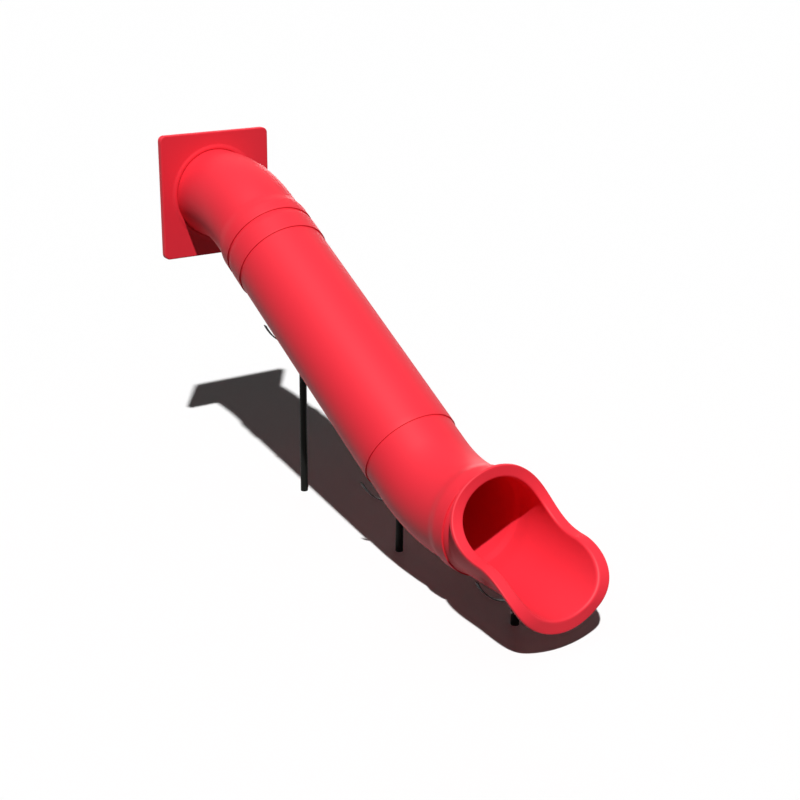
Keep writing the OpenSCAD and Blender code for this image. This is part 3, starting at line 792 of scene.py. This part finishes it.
heads, nuts = [], []
for x, top in zip(post_x, post_tops):
    for k in range(2):
        z = top - bolt_down - k * bolt_pitch
        heads.append(((x, post_r, z), (0, -1, 0)))
        nuts.append(((x, -post_r, z), (0, -1, 0)))
shank = 2 * post_r + nut_per_r * bolt_r + bolt_r / 2
post_bolt = hex_part("post_bolt", bolt_r, head_per_r * bolt_r, shank, False)
bolts = fasten("post_bolt_set", heads, post_bolt, steel)
dress(bolts, steel, "stainless", "post_bolts")
post_nut = hex_part("post_nut", bolt_r, nut_per_r * bolt_r, 0, True)
post_nuts = fasten("post_nut_set", nuts, post_nut, steel)
dress(post_nuts, steel, "stainless", "post_nuts")

# RISERS AND SADDLE PLATES.
# Galvanised steel plates that lift the middle and the lower part of the slide off their cradles.
# Two upright plates stand on each band, and a curved saddle plate is welded across their tops.

for node in ("riser_middle", "riser_lower", "saddle_middle", "saddle_lower"):
    refinish(node, galvanised)

# RUBBER PADS.
# Black rubber that keeps steel off plastic: a moulded wedge in the upper cradle, under the sloping
# tube, and a thin sheet on each saddle plate, held by the saddle bolts.

rubber = coated("pad_rubber", (0.02, 0.02, 0.02), patch=0.05, contrast=0.3, grain=0.002, rough=0.8,
                spread=0.1, bump_mm=0.1, specular=0.2)
for node in ("pad_upper", "pad_middle", "pad_lower"):
    refinish(node, rubber)

# SADDLE BOLTS AND NUTS.
# Four countersunk stainless bolts to a saddle, put in from inside the tube with their heads flush,
# and a nut on each under the saddle plate.

for node in ("saddle_bolts", "saddle_nuts"):
    refinish(node, steel)

# FLOOR.
# A plain pale floor at the posts' feet, wide enough to hold the whole shadow. Its tone is pale to
# the camera and dark to scattered light, so that the shadow stays as deep as in the photograph.

ground_z = -2297.4 * MM
floor_half = 60.0

mesh = bpy.data.meshes.new("floor")
corners = [(x * floor_half, y * floor_half, ground_z) for x, y in ((-1, -1), (1, -1), (1, 1), (-1, 1))]
mesh.from_pydata(corners, [], [(0, 1, 2, 3)])
floor = bpy.data.objects.new("floor", mesh)
bpy.context.scene.collection.objects.link(floor)
pale = bpy.data.materials.new("pale_floor")
pale.use_nodes = True
shader = pale.node_tree.nodes["Principled BSDF"]
shader.inputs["Roughness"].default_value = 1.0
shader.inputs["Specular IOR Level"].default_value = 0.0
nodes, link = pale.node_tree.nodes, pale.node_tree.links.new


def seen_directly(nodes, link):
    """1 for rays from the camera and from mirror-like or clear surfaces, 0 for scattered light."""
    path = nodes.new("ShaderNodeLightPath")
    seen = path.outputs["Is Camera Ray"]
    for kind in ("Is Glossy Ray", "Is Transmission Ray"):
        either = nodes.new("ShaderNodeMath")
        either.operation = "MAXIMUM"
        link(seen, either.inputs[0])
        link(path.outputs[kind], either.inputs[1])
        seen = either.outputs[0]
    return seen


tone = nodes.new("ShaderNodeMapRange")
tone.inputs["To Min"].default_value = 0.05
tone.inputs["To Max"].default_value = 0.91
link(seen_directly(nodes, link), tone.inputs["Value"])
link(tone.outputs["Result"], shader.inputs["Base Color"])
mesh.materials.append(pale)

# LIGHT.
# One high sun from the camera's right, a level fill from behind that keeps the shaded side plain,
# and a weak even sky. The camera and mirror-like surfaces see the sky as plain white.

sun_way = Vector((-0.5271, 0.3520, -1.0))
sun_data = bpy.data.lights.new("sun", "SUN")
sun_data.energy = 3.9
sun_data.angle = math.radians(1.5)
sun = bpy.data.objects.new("sun", sun_data)
sun.rotation_euler = sun_way.to_track_quat("-Z", "Y").to_euler()
bpy.context.scene.collection.objects.link(sun)

back_way = Vector((0.80, -0.60, 0.0))
back_data = bpy.data.lights.new("back_fill", "SUN")
back_data.energy = 0.6
back_data.angle = math.radians(20)
back = bpy.data.objects.new("back_fill", back_data)
back.rotation_euler = back_way.to_track_quat("-Z", "Y").to_euler()
bpy.context.scene.collection.objects.link(back)

fill = 0.04
world = bpy.data.worlds.new("sky")
world.use_nodes = True
nodes, link = world.node_tree.nodes, world.node_tree.links.new
sky = nodes["Background"]
sky.inputs["Color"].default_value = (1.0, 1.0, 1.0, 1.0)
strength = nodes.new("ShaderNodeMapRange")
strength.inputs["To Min"].default_value = fill
strength.inputs["To Max"].default_value = 1.0
link(seen_directly(nodes, link), strength.inputs["Value"])
link(strength.outputs["Result"], sky.inputs["Strength"])
bpy.context.scene.world = world

# CAMERA.
# A long lens from the chute's right-hand side and a little above the entrance, solved from
# straight and round edges of the slide in the photograph.

camera_at = (11.4221, -5.8609, 2.5647)
yaw, pitch, roll = 0.9676, 0.3381, -0.011
ahead = Vector((-math.sin(yaw) * math.cos(pitch), math.cos(yaw) * math.cos(pitch), -math.sin(pitch)))
right = ahead.cross(Vector((0, 0, 1))).normalized()
down = ahead.cross(right)
right, down = (math.cos(roll) * right + math.sin(roll) * down,
               math.cos(roll) * down - math.sin(roll) * right)
camera_data = bpy.data.cameras.new("camera")
camera_data.sensor_width = 36.0
camera_data.lens = 66.066
camera_data.clip_end = 200.0
camera = bpy.data.objects.new("camera", camera_data)
turned = Matrix((right, -down, -ahead)).transposed().to_4x4()
camera.matrix_world = Matrix.Translation(camera_at) @ turned
bpy.context.scene.collection.objects.link(camera)
bpy.context.scene.camera = camera
bpy.context.scene.view_settings.view_transform = "Standard"
